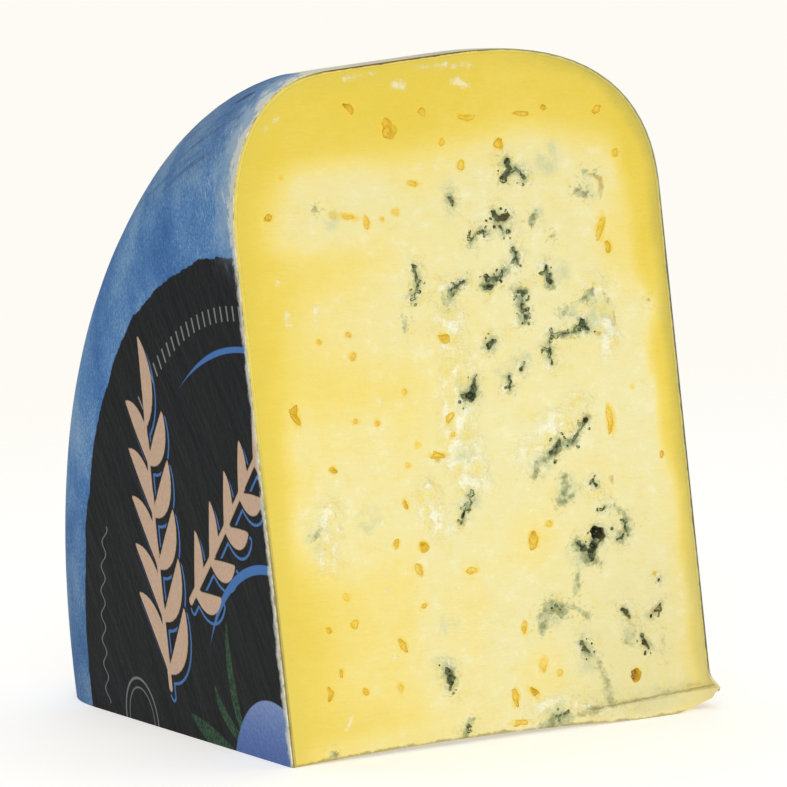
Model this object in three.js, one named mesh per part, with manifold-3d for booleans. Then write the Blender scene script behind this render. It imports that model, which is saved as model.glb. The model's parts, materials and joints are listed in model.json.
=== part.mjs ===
// A quarter of a blue-veined, gouda-style cheese wheel, standing on one of its two cut faces.
//
// The whole wheel is turned about its own axis, then two knife cuts through that axis take a
// quarter out of it. The wedge has three pieces: the cheese itself, the thin protective coating
// that was brushed over the wheel, and the round paper label that was pressed over one flat side
// and folded down onto its shoulder.
//
// Units are millimetres, +Z is up. X runs through the wheel's thickness, from the labelled side to
// the plain side. The front cut face looks along -Y. The origin is the middle of the base.
import * as THREE from "three";
import { mergeVertices } from "three/addons/utils/BufferGeometryUtils.js";
import Module from "manifold-3d";

// ---- the wheel, measured over its coating ----
const wheelRadius = 125;
const wheelThickness = 84;
const faceCrown = 0.7; // how far each flat side falls away between its middle and its rim

// A shoulder rounds a flat side into the rim. It takes this much of the wheel's thickness across,
// and this much of its radius down. Fullness 2 is a plain ellipse, and more is squarer.
const labelShoulder = { across: 22, down: 30, fullness: 2.3 };
const plainShoulder = { across: 40, down: 30.5, fullness: 2.45 };

// ---- what lies on the cheese ----
const coatingThickness = 0.6;
const labelThickness = 0.6;
const layerGap = 0.3; // clearance between one layer and the next
const labelMargin = 5; // bare coating between the label's edge and the top of its shoulder

// ---- the cuts ----
const leanDegrees = 2.15; // how far out of square the base was cut; the wedge leans to its label

// ---- how finely curves are divided ----
const turnSegments = 72;
const wallSteps = 4;
const shoulderSteps = 9;

const wasm = await Module();
wasm.setup();

function solidFrom(geometry) {
  const bare = geometry.index ? geometry.toNonIndexed() : geometry;
  bare.deleteAttribute("normal");
  bare.deleteAttribute("uv");
  const merged = mergeVertices(bare, 1e-4);
  return new wasm.Manifold(
    new wasm.Mesh({
      numProp: 3,
      vertProperties: merged.attributes.position.array,
      triVerts: new Uint32Array(merged.index.array),
    }),
  );
}

function geometryFrom(solid) {
  const mesh = solid.getMesh();
  const geometry = new THREE.BufferGeometry();
  geometry.setAttribute("position", new THREE.BufferAttribute(mesh.vertProperties, 3));
  geometry.setIndex(new THREE.BufferAttribute(mesh.triVerts, 1));
  geometry.computeVertexNormals();
  return geometry;
}

// How far a flat side lies from the wheel's middle, at a distance r from the axis.
function wallAt(r) {
  return wheelThickness / 2 - faceCrown * (r / wheelRadius) ** 2;
}

// How far the top of a shoulder, where the rim begins, lies from the wheel's middle.
function shoulderTop(shoulder) {
  return wallAt(wheelRadius - shoulder.down) - shoulder.across;
}

// One side of the wheel's outline, from the axis out to the top of its shoulder.
// Each point is (distance from the axis, position along the axis); side is -1 or 1.
function sideOutline(shoulder, side) {
  const points = [];
  const wallEnd = wheelRadius - shoulder.down;
  for (let i = 0; i < wallSteps; i++) {
    const r = (wallEnd * i) / wallSteps;
    points.push(new THREE.Vector2(r, side * wallAt(r)));
  }
  for (let i = 0; i <= shoulderSteps; i++) {
    const turn = (Math.PI / 2) * (i / shoulderSteps);
    const across = shoulder.across * Math.cos(turn) ** (2 / shoulder.fullness);
    const out = shoulder.down * Math.sin(turn) ** (2 / shoulder.fullness);
    points.push(new THREE.Vector2(wallEnd + out, side * (shoulderTop(shoulder) + across)));
  }
  return points;
}

// The wheel's whole outline, from the axis on the labelled side to the axis on the plain side.
function wheelOutline() {
  return [...sideOutline(labelShoulder, -1), ...sideOutline(plainShoulder, 1).reverse()];
}

// An outline moved inwards by a distance, square to itself; a negative distance moves it outwards.
function insetOutline(outline, distance) {
  const last = outline.length - 1;
  return outline.map((point, i) => {
    const along =
      i === 0 || i === last
        ? new THREE.Vector2(i === 0 ? 1 : -1, 0) // at the axis the wheel is square to it
        : outline[i + 1].clone().sub(outline[i - 1]).normalize();
    const inwards = new THREE.Vector2(-along.y, along.x);
    return point.clone().addScaledVector(inwards, distance);
  });
}

// The whole wheel, with its surface this far inside the coating's outside.
function turnedWheel(inset) {
  const lathe = new THREE.LatheGeometry(insetOutline(wheelOutline(), inset), turnSegments);
  lathe.rotateZ(-Math.PI / 2); // the lathe's axis, +Y, becomes the wheel's axis, +X
  return solidFrom(lathe);
}

const blockSize = 4 * (wheelRadius + wheelThickness); // larger than the wheel every way

// Everything behind the front cut and above the base. Seen from the wheel, the base is tilted.
function quarterBlock() {
  const block = new THREE.BoxGeometry(blockSize, blockSize, blockSize);
  block.translate(0, blockSize / 2, blockSize / 2);
  block.rotateY(THREE.MathUtils.degToRad(leanDegrees));
  return solidFrom(block);
}

// Everything on the labelled side of the label's edge.
function labelBlock() {
  const edge = -shoulderTop(labelShoulder) - labelMargin;
  const block = new THREE.BoxGeometry(blockSize, blockSize, blockSize);
  block.translate(edge - blockSize / 2, 0, 0);
  return solidFrom(block);
}

// A layer of the wheel between two insets, cut to the quarter.
function layer(outerInset, innerInset) {
  return turnedWheel(outerInset).subtract(turnedWheel(innerInset)).intersect(quarterBlock());
}

const cheese = turnedWheel(coatingThickness + layerGap).intersect(quarterBlock());
const coating = layer(0, coatingThickness);
const label = layer(-layerGap - labelThickness, -layerGap).intersect(labelBlock());

const pasteYellow = new THREE.MeshStandardMaterial({ color: 0xefe08a, roughness: 0.45, metalness: 0 });
const oliveCoating = new THREE.MeshStandardMaterial({ color: 0xb9b48c, roughness: 0.5, metalness: 0 });
const bluePaper = new THREE.MeshStandardMaterial({ color: 0x4f7db6, roughness: 0.8, metalness: 0 });

// Each piece is made about the wheel's own axis, and turned back so that the base is level.
const wedge = new THREE.Group();
function addPiece(name, solid, material) {
  const mesh = new THREE.Mesh(geometryFrom(solid), material);
  mesh.name = name;
  mesh.rotation.y = THREE.MathUtils.degToRad(-leanDegrees);
  wedge.add(mesh);
}
addPiece("cheese", cheese, pasteYellow);
addPiece("rind_coating", coating, oliveCoating);
addPiece("paper_label", label, bluePaper);

// The origin goes to the middle of the base.
wedge.updateMatrixWorld(true);
const bounds = new THREE.Box3().setFromObject(wedge, true);
const middle = bounds.getCenter(new THREE.Vector3());
wedge.position.set(-middle.x, -middle.y, -bounds.min.z);

export default wedge;
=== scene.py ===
"""A quarter of a blue-veined cheese wheel, standing on one of its cut faces.

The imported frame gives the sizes. Three pieces stand for its three solids: the cheese with its eyes,
mould pockets and cut faces, the coating brushed over the wheel, and the printed paper label.

Wheel coordinates are millimetres from the middle of the front cut's lower edge: x runs through the
wheel's thickness, y goes back from the front cut and z goes up. Meshes are in metres.
"""
import json
import math
import random

import bpy
import numpy as np
from mathutils import Matrix, Vector
from mathutils.kdtree import KDTree

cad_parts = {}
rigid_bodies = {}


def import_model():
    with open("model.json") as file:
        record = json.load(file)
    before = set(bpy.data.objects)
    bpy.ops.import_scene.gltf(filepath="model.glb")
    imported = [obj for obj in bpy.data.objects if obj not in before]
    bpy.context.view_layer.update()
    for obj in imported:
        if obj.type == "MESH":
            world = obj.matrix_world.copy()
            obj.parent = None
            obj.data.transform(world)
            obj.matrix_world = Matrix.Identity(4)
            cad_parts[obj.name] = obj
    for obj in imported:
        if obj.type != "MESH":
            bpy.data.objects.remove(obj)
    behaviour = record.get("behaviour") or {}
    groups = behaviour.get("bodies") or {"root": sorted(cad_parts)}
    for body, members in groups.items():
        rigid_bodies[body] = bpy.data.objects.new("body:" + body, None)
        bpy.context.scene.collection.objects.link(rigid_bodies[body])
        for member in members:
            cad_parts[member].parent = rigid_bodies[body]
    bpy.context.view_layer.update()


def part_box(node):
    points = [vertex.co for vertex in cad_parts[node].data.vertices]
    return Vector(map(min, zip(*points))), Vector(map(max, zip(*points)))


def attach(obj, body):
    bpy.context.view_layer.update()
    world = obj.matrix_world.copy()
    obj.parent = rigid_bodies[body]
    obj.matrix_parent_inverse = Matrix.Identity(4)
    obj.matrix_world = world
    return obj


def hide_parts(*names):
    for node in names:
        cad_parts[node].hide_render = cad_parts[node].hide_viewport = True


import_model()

MM = 0.001

# ---- the wheel, over its coating ----
cheese_low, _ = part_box("cheese")
_, coating_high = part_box("rind_coating")
LEAN = math.radians(2.15)
THICKNESS = 84.0
FRONT_Y = cheese_low.y / MM
RADIUS = (coating_high.y - cheese_low.y) / MM
MIDDLE_X = coating_high.x / MM - THICKNESS / 2 / math.cos(LEAN)
LABEL_SHOULDER = (22.0, 30.0, 2.3)  # across the wheel, down its radius, fullness
PLAIN_SHOULDER = (40.0, 30.5, 2.45)
SHOULDERS = ((-1, LABEL_SHOULDER), (1, PLAIN_SHOULDER))  # the label is on the left, at -x
COATING = 0.6
PAPER = 0.22
FIT = 0.02  # the gap between two layers that touch
LABEL_EDGE = -24.3
SLIVER = 0.004  # how far a finely divided flat side lies inside the wheel's own
BEYOND = 140  # clear of the wedge, for the blocks that cut it
ON_CUT = 0.05  # a face this near a cut lies on it
UNDERSIDE = 0.1  # the paper's vertices this near the wheel's surface face the coating
BOW = (-8, 34, 0.9)  # the base edge bows up: middle, half width, rise
BASE_TOP = 1.3  # no point of the bowed base lies higher

# To stand the wheel's own axis up in the frame: lean it to the label, then set it in place.
STAND = Matrix.Translation(Vector((MIDDLE_X, FRONT_Y, 0)) * MM) @ Matrix.Rotation(-LEAN, 4, "Y")


# ---------------------------------------------------------------- camera, light and floor

def set_camera():
    azimuth, elevation, roll = (math.radians(a) for a in (-23.27, 6.58, -4.185))
    distance, lens = 1416.4, 349.4
    aim = Vector((MIDDLE_X, FRONT_Y + 40, 60)) * MM
    back = Vector((math.sin(azimuth) * math.cos(elevation),
                   -math.cos(azimuth) * math.cos(elevation), math.sin(elevation)))
    right = (-back).cross(Vector((0, 0, 1))).normalized()
    up = right.cross(-back)
    across = right * math.cos(roll) + up * math.sin(roll)
    upright = up * math.cos(roll) - right * math.sin(roll)
    place = Matrix((across, upright, back)).transposed().to_4x4()
    place.translation = aim + back * distance * MM
    data = bpy.data.cameras.new("camera")
    data.lens = lens
    data.sensor_width = 36
    data.clip_start, data.clip_end = 0.1, 20
    camera = bpy.data.objects.new("camera", data)
    camera.matrix_world = place
    bpy.context.scene.collection.objects.link(camera)
    bpy.context.scene.camera = camera


def add_area_light(name, place, aim, size, power, colour):
    data = bpy.data.lights.new(name, "AREA")
    data.shape = "SQUARE"
    data.size = size
    data.energy = power
    data.color = colour
    light = bpy.data.objects.new(name, data)
    light.location = place
    light.rotation_euler = (Vector(place) - Vector(aim)).to_track_quat("Z", "Y").to_euler()
    bpy.context.scene.collection.objects.link(light)


def set_stage():
    scene = bpy.context.scene
    scene.view_settings.view_transform = "Standard"
    world = bpy.data.worlds.new("studio")
    world.use_nodes = True
    tree = world.node_tree
    lit = tree.nodes["Background"]
    lit.inputs["Color"].default_value = (1.0, 0.985, 0.97, 1)
    lit.inputs["Strength"].default_value = 0.42
    seen = tree.nodes.new("ShaderNodeBackground")
    seen.inputs["Color"].default_value = (0.99, 0.965, 0.905, 1)
    choose = tree.nodes.new("ShaderNodeMixShader")
    tree.links.new(tree.nodes.new("ShaderNodeLightPath").outputs["Is Camera Ray"], choose.inputs[0])
    tree.links.new(lit.outputs[0], choose.inputs[1])
    tree.links.new(seen.outputs[0], choose.inputs[2])
    tree.links.new(choose.outputs[0], tree.nodes["World Output"].inputs["Surface"])
    scene.world = world
    centre = (0, 0, 0.06)
    add_area_light("key", (-0.35, -1.05, 0.5), centre, 0.9, 6.1, (0.975, 0.995, 1.0))
    add_area_light("fill", (0.95, -0.9, 0.3), centre, 0.9, 2.2, (0.975, 0.995, 1.0))
    add_area_light("top", (0.0, 0.5, 1.2), centre, 1.0, 5.0, (1.0, 0.995, 0.99))
    floor = add_primitive(bpy.ops.mesh.primitive_plane_add, size=2)
    floor.name = "floor"
    material, g, shader = new_material("pale_floor")
    surface(g, shader, (0.78, 0.776, 0.765, 1), 0.9)
    shader.inputs["Emission Color"].default_value = (1.0, 0.985, 0.96, 1)
    shader.inputs["Emission Strength"].default_value = 0.42
    # Far from the wedge the floor fades into the pale backdrop, so that no horizon shows.
    reach = g.add("VectorMath", operation="LENGTH")
    g.feed(reach.inputs[0], g.millimetres())
    g.feed(shader.inputs["Alpha"], g.smooth(reach.outputs["Value"], 620.0, 160.0))
    floor.data.materials.append(material)


# ---------------------------------------------------------------- small modelling helpers

def add_primitive(operator, **settings):
    bpy.ops.object.select_all(action="DESELECT")
    operator(**settings)
    return bpy.context.object


def make_active(obj):
    bpy.ops.object.select_all(action="DESELECT")
    bpy.context.view_layer.objects.active = obj
    obj.select_set(True)


def start_edit(obj):
    make_active(obj)
    bpy.ops.object.mode_set(mode="EDIT")
    bpy.ops.mesh.select_all(action="SELECT")


def end_edit():
    bpy.ops.object.mode_set(mode="OBJECT")


def select_nothing(obj, kind):
    """Clears the mesh's selection, so that code can then select by place."""
    start_edit(obj)
    bpy.ops.mesh.select_mode(type=kind)
    bpy.ops.mesh.select_all(action="DESELECT")
    end_edit()


def apply_modifier(obj, kind, **settings):
    make_active(obj)
    modifier = obj.modifiers.new(kind.lower(), kind)
    for key, value in settings.items():
        setattr(modifier, key, value)
    bpy.ops.object.modifier_apply(modifier=modifier.name)


def boolean(obj, operation, other):
    apply_modifier(obj, "BOOLEAN", operation=operation, object=other, solver="MANIFOLD")
    bpy.data.objects.remove(other)


def points_of(obj):
    """The mesh's vertices in millimetres from the front cut's lower edge."""
    co = np.empty(len(obj.data.vertices) * 3)
    obj.data.vertices.foreach_get("co", co)
    return co.reshape(-1, 3) / MM - (MIDDLE_X, FRONT_Y, 0)


def store(obj, name, values):
    attribute = obj.data.attributes.new(name, "FLOAT", "POINT")
    attribute.data.foreach_set("value", np.asarray(values, np.float32))


def set_materials(obj, *materials):
    obj.data.materials.clear()
    for material in materials:
        obj.data.materials.append(material)


def smooth_shade(obj, degrees):
    make_active(obj)
    bpy.ops.object.shade_smooth_by_angle(angle=math.radians(degrees))


def whole_wheel(name, inset, steps=150):
    """The whole wheel, standing in its place, with its surface this far inside the coating's."""
    wheel = add_primitive(
        bpy.ops.mesh.primitive_cylinder_add, vertices=steps, radius=(RADIUS - inset) * MM,
        depth=(THICKNESS - 2 * inset) * MM, rotation=(0, math.pi / 2, 0))
    wheel.name = name
    bpy.ops.object.transform_apply(location=False, rotation=True, scale=False)
    for side, (across, down, fullness) in SHOULDERS:
        stretch = (down - inset) / (across - inset)
        wheel.data.transform(Matrix.Diagonal((stretch, 1, 1, 1)))
        select_nothing(wheel, "EDGE")
        wall = side * (THICKNESS / 2 - inset) * MM * stretch
        corners = [abs(v.co.x - wall) < 1e-6 and v.co.yz.length > 0.1 for v in wheel.data.vertices]
        for edge in wheel.data.edges:
            edge.select = all(corners[i] for i in edge.vertices)
        bpy.ops.object.mode_set(mode="EDIT")
        bpy.ops.mesh.bevel(offset=(down - inset) * MM, segments=22, affect="EDGES",
                           profile=2 ** (-2 / fullness), clamp_overlap=False)
        end_edit()
        wheel.data.transform(Matrix.Diagonal((1 / stretch, 1, 1, 1)))
    wheel.data.transform(STAND)
    return wheel


def grid_block(low, high, step, face):
    """A block between two corners, with one face divided into squares of about a step: its front,
    its base, or its side, which leans with the wheel."""
    turn, across, along, normal = {
        "front": (Matrix.Rotation(math.pi / 2, 4, "X"), 0, 2, 1),
        "base": (Matrix.Rotation(math.pi, 4, "X"), 0, 1, 2),
        "side": (Matrix.Rotation(-math.pi / 2, 4, "Y"), 2, 1, 0)}[face]
    size = np.subtract(high, low)
    block = add_primitive(bpy.ops.mesh.primitive_grid_add, size=1,
                          x_subdivisions=round(size[across] / step),
                          y_subdivisions=round(size[along] / step))
    middle = (np.array(low) + high) / 2
    middle[normal] = low[normal]
    scale = Matrix.Diagonal((size[across] * MM, size[along] * MM, 1, 1))
    block.data.transform(Matrix.Translation(Vector(middle) * MM) @ turn @ scale)
    thickness = [0, 0, 0]
    thickness[normal] = size[normal] * MM
    start_edit(block)
    bpy.ops.mesh.extrude_region_move(TRANSFORM_OT_translate={"value": thickness})
    bpy.ops.mesh.select_all(action="SELECT")
    bpy.ops.mesh.normals_make_consistent(inside=False)
    end_edit()
    block.data.transform(STAND if face == "side" else Matrix.Translation(STAND.translation))
    return block


# ---------------------------------------------------------------- what the cut shows
# Every place is (x, z) on the front cut. A chain is a row of (x, z, radius).

EYES = (  # x, z, width, height, tilt in degrees, depth
    (-14.8, 112.7, 3, 3.4, -30, 1.3), (-21.8, 117, 1.5, 2.6, -35, 0.9),
    (-7.8, 115.2, 1.9, 1.1, 30, 0.8), (1, 113, 4.2, 0.9, 24, 0.7),
    (12, 112.7, 3.4, 0.7, 8, 0.6), (16.2, 113.4, 1.3, 0.8, 20, 0.6),
    (26.8, 112, 1.8, 1.3, -20, 0.9), (6.9, 107.7, 1.6, 2.1, -15, 1.1),
    (-4.2, 109.2, 1, 1.3, 0, 0.6), (-0.8, 104.6, 1.3, 1.6, 20, 0.8),
    (-10.4, 102.3, 2, 0.9, 10, 0.6), (29.8, 103.8, 1.2, 1.4, 0, 0.5),
    (-39, 99, 1.7, 1.1, 0, 0.7), (-26.4, 98.2, 1.3, 1.4, -20, 0.3),
    (-23.4, 97.6, 3.4, 0.9, 16, 0.5), (-20, 96.2, 1, 2.2, -10, 0.6),
    (-14.3, 97.5, 1.4, 1.1, 20, 0.3), (-16.9, 96.6, 0.7, 0.6, 0, 0.2),
    (26, 90.6, 1.5, 4.2, 8, 1), (27.3, 87, 1.4, 1.9, -10, 1),
    (-31, 75.8, 0.9, 0.9, 0, 0.4), (-25.2, 76.5, 1.1, 0.9, 0, 0.4),
    (-24.6, 72.5, 1.5, 1.5, 0, 0.4), (-6.7, 74, 2.2, 1.5, 35, 0.9),
    (-36.4, 63, 1.5, 3.8, -12, 1.2), (-15, 65, 0.9, 1.1, 0, 0.4),
    (-25, 60.8, 1, 0.8, 0, 0.4), (-20.8, 60, 1.1, 1, 0, 0.5),
    (-6.5, 59.3, 1.1, 2, 30, 0.7), (-6.3, 56.3, 1.3, 0.8, 0, 0.5),
    (25.4, 55.4, 1.5, 4.8, -4, 1), (-30, 52.6, 1.3, 1.1, 0, 0.9),
    (-9.3, 52.8, 3.2, 0.9, 4, 0.9), (-15.3, 51.7, 1, 0.7, 20, 0.4),
    (-13.2, 55.2, 1, 1, 0, 0.3), (35, 47.9, 1.1, 1.2, 0, 0.6),
    (-16.4, 44.8, 1, 1.6, -15, 0.6), (-18.8, 37.8, 1.2, 1.5, 20, 0.8),
    (-13.6, 36.8, 1.9, 1.8, 0, 1.2), (-14.8, 32.7, 1.3, 2.2, -25, 1),
    (-4.4, 31.2, 2.2, 0.9, 0, 0.8), (8.3, 35.4, 2, 3.2, 0, 1.1),
    (11.7, 37.9, 1.3, 1, -20, 0.5), (-29.2, 29.4, 1.2, 1.3, 0, 0.6),
    (-14.2, 26, 1.4, 0.7, -35, 0.6), (-33.3, 24, 1.1, 1.1, 0, 0.7),
    (-28.2, 24.3, 1.4, 1.4, 0, 0.6), (-18.9, 19.3, 1.2, 2.4, -18, 0.7),
    (5.2, 19.6, 1.2, 2.2, 0, 0.6), (-33.8, 12.3, 1.2, 2.2, 0, 0.8),
    (-31.3, 15.8, 0.8, 1.3, 0, 0.5), (-26.9, 11.9, 1.3, 1.2, 0, 0.7),
    (-20, 11.8, 0.9, 1.6, 0, 0.4), (8.5, 12.4, 1.5, 2.4, 10, 0.5),
    (11.6, 10.4, 1.2, 1.2, 0, 0.4), (6.3, 7.6, 2.6, 1, 42, 1),
    (2.5, 7, 1.2, 3.2, 6, 0.8), (3.3, 2.4, 3, 0.7, 4, 0.7),
    (26.8, 8.2, 1.9, 2.2, 0, 1.6), (-36, 106, 0.8, 0.8, 0, 0.3),
    (30.2, 61, 0.7, 0.7, 0, 0.3), (32, 26.2, 0.8, 0.7, 0, 0.4),
)

POCKETS = (  # open mould pockets, black-green inside
    ((8.2, 104.4, 0.8), (8.8, 103, 0.7), (7.7, 101.7, 0.9)),
    ((9.7, 103.2, 0.35), (10.8, 102.2, 0.35), (11.5, 101, 0.55)),
    ((-3.5, 99.2, 0.5), (-3.1, 98.4, 0.7)),
    ((5, 95.6, 0.5), (5.6, 94.4, 0.9), (6.9, 94.3, 0.8), (7.9, 94.8, 0.4)),
    ((6, 92.9, 0.4), (6.7, 91.9, 0.6), (7.8, 91.7, 0.4)),
    ((-0.1, 90.4, 0.35), (1.1, 92, 0.4), (2.3, 92.5, 0.4), (3.6, 91.9, 0.35)),
    ((8.3, 88.8, 0.35), (8.8, 87.2, 0.45), (8.9, 85.8, 0.25)),
    ((-4.6, 82.2, 0.5), (-3.6, 82.8, 0.45), (-1.9, 83.7, 0.3)),
    ((2.2, 82.1, 0.7), (3.1, 82.2, 0.8), (2.6, 84, 0.45), (4.8, 83.4, 0.4), (6.2, 84.8, 0.35)),
    ((14.6, 84.6, 0.5), (14.4, 83.2, 0.5), (15.2, 81.6, 0.8)),
    ((8.4, 80.8, 0.6), (9.6, 80.4, 0.7), (9.2, 78.8, 0.35), (9, 77.4, 0.35), (9.9, 75.9, 0.5)),
    ((9, 74.9, 0.35), (10.2, 76, 0.35)),
    ((2.1, 71.5, 0.9), (3, 72.1, 0.9)),
    ((14.7, 72.6, 0.5), (14.3, 70.9, 0.4), (14.3, 69.4, 0.4)),
    ((15.4, 72.2, 0.2), (18, 72, 0.25), (20.6, 72.3, 0.3)),
    ((21, 73.4, 0.9), (21.9, 72.5, 0.6)),
    ((-3.6, 63.1, 0.7), (-2.1, 62.7, 1.3), (-1.3, 64.2, 1), (-1.1, 66, 0.3)),
    ((5.8, 65.6, 0.35), (5.8, 64.4, 0.4), (5.7, 62.9, 0.4)),
    ((8.3, 66.6, 0.45), (8.6, 67, 0.3)),
    ((13, 70, 0.25), (14, 68.7, 0.3), (14.4, 67, 0.35)),
    ((17.4, 52.1, 0.7), (18.4, 53.6, 0.4), (19.4, 54.9, 0.4), (20.3, 56, 0.8)),
    ((13, 50.6, 0.5), (14.3, 51.8, 0.8), (15, 53, 0.5)),
    ((-5.7, 40, 0.45), (-5.2, 41.6, 0.4), (-4.2, 43.3, 0.2), (-3.2, 45.6, 0.2)),
    ((20.8, 44.7, 0.3), (21.6, 43.8, 0.45)),
    ((22.2, 39.1, 0.25), (23.2, 39.7, 0.35)),
    ((20.6, 36, 0.7), (21.4, 34.6, 1.4), (20.2, 33, 1.3), (19.4, 31, 1)),
    ((17.2, 33.6, 0.6), (18.2, 32.4, 0.9)),
    ((26.5, 36.9, 0.25), (26.8, 35, 0.35), (25.6, 33.6, 0.5)),
    ((-11.1, 14.2, 0.5), (-10.3, 13.4, 1.1), (-9.9, 11.9, 0.9), (-10.3, 10.2, 0.4)),
    ((25, 20.3, 0.6), (25.6, 19.8, 0.8), (26.5, 18.8, 0.5)),
    ((28.5, 15.2, 0.5), (29.1, 14, 0.7), (29.8, 12.7, 0.4)),
    ((30.6, 18.6, 0.5), (31.6, 19.4, 0.5), (32.6, 20.4, 0.4)),
    ((16.5, 15.5, 0.5), (17.2, 13.9, 0.6), (18.1, 12.8, 0.6)),
    ((-11.5, 87.6, 0.3), (-11.1, 85.6, 0.4), (-10.9, 83.9, 0.5), (-12.2, 81.5, 0.25)),
    ((11.6, 22.9, 0.5), (12.5, 22, 0.5)),
    ((32.6, 25, 0.3),),
    ((-6.9, 3.6, 0.4), (-7.4, 2.6, 0.4)),
    ((10.2, 2.6, 0.4), (12.6, 2.9, 0.5)),
)

GREEN = (  # grey-green mould that lies on the cut without a hole
    ((9.6, 46.6, 0.5), (9.8, 48, 0.6), (11.4, 49.6, 0.8), (13, 50.6, 0.9), (15, 51.8, 1),
     (17.4, 52.2, 0.7)),
    ((22, 97.6, 0.9), (23.5, 96.8, 0.7)), ((12.3, 93, 0.8), (13, 94.4, 0.5)),
    ((23.6, 100.6, 0.5), (25.4, 100.6, 0.4)), ((8.5, 87.2, 0.9), (8.9, 85.4, 0.4)),
    ((-5.4, 80.6, 0.8), (-4.2, 82.4, 0.9), (-1.2, 83.9, 0.4)),
    ((2.4, 82.6, 1.1), (4.8, 83.4, 0.7), (7.2, 84.8, 0.6)), ((14.5, 83.2, 0.8), (15.2, 81.4, 0.9)),
    ((9, 80.2, 1.2), (9.6, 75.4, 0.9)), ((16.8, 75.3, 0.5), (17.9, 76.4, 0.5), (18.9, 75.4, 0.4)),
    ((21.5, 77.9, 0.7), (23.3, 78.9, 0.7)), ((16, 72.1, 0.5), (20, 72.1, 0.5)),
    ((21.4, 73, 1.2),), ((15.1, 46.2, 0.6), (15.5, 44.4, 0.8), (14.7, 41.6, 1), (16.6, 42.6, 0.6)),
    ((16.8, 33.6, 0.9), (19, 31, 1.5), (20.8, 29.6, 0.8)),
    ((24.8, 39.4, 0.4), (26.6, 38, 0.4), (27, 35, 0.9), (25.5, 33.4, 0.9)),
    ((8.8, 19, 0.8), (9, 21.2, 1), (10.6, 23, 1.1), (12.6, 21.8, 1.4)),
    ((13.2, 22.4, 0.6), (15.2, 22.2, 0.4), (16.7, 21.2, 0.5), (17.8, 20.2, 0.6)),
    ((16.8, 28.4, 0.4), (16.3, 26.6, 0.7), (16, 24.6, 0.4)),
    ((16.8, 15, 0.8), (17.6, 13.2, 0.9)), ((19.5, 11.4, 0.4), (20.2, 9.6, 0.5)),
    ((20.6, 8.4, 0.7), (21.2, 5.6, 0.6), (21.6, 3.4, 0.9)),
    ((7.6, 0.9, 1), (10, 1.6, 1.3), (12.6, 1.9, 1.1)), ((15.2, 2.3, 0.6), (18.8, 2.8, 0.6)),
    ((-8.4, 1.2, 0.6), (-6.4, 4.4, 0.4)), ((-33.8, 1.3, 0.9),), ((-29.6, 99.6, 0.5),),
    ((-13.8, 78, 0.3), (-14.1, 76.2, 0.2)), ((32.7, 15, 0.2), (32.6, 10.6, 0.25)),
    ((25.8, 16.6, 0.3), (25.4, 14.4, 0.3)), ((27.4, 16.6, 0.3), (26.4, 13.6, 0.3)),
    ((22, 3.1, 0.1), (26, 3.3, 0.05)), ((30, 3.8, 0.1), (33, 4.2, 0.1)),
    ((34.6, 76.2, 0.3),), ((16.2, 90.2, 0.5),), ((-33.6, 42, 0.3), (-34.6, 40.8, 0.3)),
)

HAZE = (  # faint blue-grey bloom around the pockets
    ((10.4, 102, 2),), ((16.2, 103.6, 2.6), (17.4, 106.4, 1.2)), ((24.4, 98, 1.6),),
    ((-3.8, 101.2, 1.2), (-3.6, 95.6, 1)), ((13.8, 94, 1.2),), ((6.4, 93.4, 1.6),),
    ((-5.4, 80, 1.6),), ((6.2, 85, 1.4),), ((17.4, 83, 1.9),), ((24, 75.6, 2.8), (24.6, 73.4, 2.6)),
    ((8.3, 68, 2.2),), ((20.2, 76, 1.8),), ((-2.4, 63.4, 2.8),), ((4.6, 66, 1.6),), ((13.4, 69.2, 1.4),),
    ((11.4, 48.8, 2.4),), ((16, 43.8, 2.6),), ((-4, 43.4, 2.4),), ((17, 31.2, 2.4),),
    ((25.4, 35.8, 2.8),), ((11.4, 20.6, 2.2),), ((17.4, 17.6, 1),), ((17.2, 11.2, 1.8),),
    ((26.4, 15.4, 2),), ((-11.4, 14.8, 1.8),), ((10.4, 3.4, 2.4),), ((-34, 41.4, 2.2),),
    ((-24, 42.6, 2.2),), ((-27, 97, 1.6),), ((21.4, 6.4, 1.6),), ((-4, 53, 2),),
    ((-12, 84, 1.4),), ((-9.6, 22, 1.6),), ((28, 3, 2), (36, 4, 2)),
)

BROWN = (  # brown-orange rims beside a few pockets
    ((24.8, 100.4, 0.4), (26.4, 99.4, 0.5), (26.8, 97.4, 0.5), (26.2, 95.6, 0.4)),
    ((5.6, 93.4, 0.7), (8.2, 94.4, 0.5)), ((9.2, 78.2, 0.4), (9.4, 76.4, 0.5)),
    ((25.8, 78.4, 0.4), (26.6, 76.8, 0.4)), ((27.4, 75.4, 0.4), (27.4, 72.6, 0.3)),
    ((24, 71.4, 0.6),), ((20.8, 56.6, 0.7),), ((30.8, 36.6, 0.5),), ((22.6, 34, 0.4),),
    ((29.4, 13.6, 0.9),), ((31.4, 19.2, 0.8), (32.6, 21, 0.6)), ((26.8, 8.2, 0.9),),
    ((37.4, 4.8, 0.5), (39.6, 5, 0.4)), ((32.8, 25.4, 0.5),), ((-9.6, 51.9, 0.5),),
    ((24.6, 45, 0.3), (25, 43.6, 0.3)), ((27.2, 17.2, 0.4),), ((25.8, 19.6, 0.5),), ((20.3, 56.2, 0.6),),
)

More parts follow.
